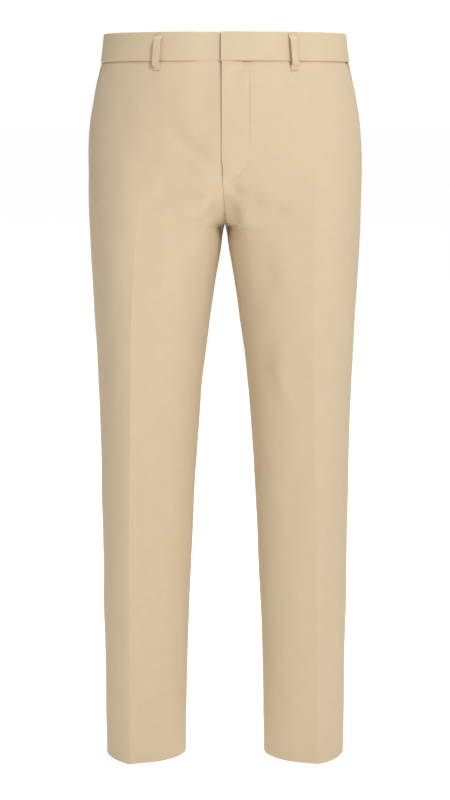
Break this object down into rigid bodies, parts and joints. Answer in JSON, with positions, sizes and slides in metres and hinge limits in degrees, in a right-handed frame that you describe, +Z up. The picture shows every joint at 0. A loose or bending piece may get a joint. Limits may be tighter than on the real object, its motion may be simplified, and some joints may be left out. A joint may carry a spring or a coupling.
{
  "type": "suit trousers",
  "caption": "Flat-front suit trousers with pressed creases, belt loops, slanted side pockets and a fly, filled out as if worn",
  "frame": {"origin": "centre of the waistband ring, half way up the band, where a wearer or a form holds the trousers", "axes": "+Z up, -Y to the front of the wearer, +X to the wearer's left"},
  "size_m": [0.3816, 0.2553, 1.0402],
  "materials": {
    "suiting": "smooth fine twill, soft matte",
    "zip_tape": "woven tape, matte",
    "hook_metal": "satin nickel"
  },
  "bodies": {
    "root": {"front_left": "suiting", "front_right": "suiting", "back_left": "suiting", "back_right": "suiting", "pocket_facing_left": "suiting", "pocket_facing_right": "suiting", "back_pocket_left": "suiting", "back_pocket_right": "suiting", "waistband_left": "suiting", "waistband_right": "suiting", "fly_underlap": "suiting", "fly_zip": "zip_tape", "waist_hook": "hook_metal", "waist_bar": "hook_metal", "loop_front_left": "suiting", "loop_front_right": "suiting", "loop_side_left": "suiting", "loop_side_right": "suiting", "loop_back_left": "suiting", "loop_back_right": "suiting", "loop_centre_back": "suiting"}
  },
  "joints": []
}
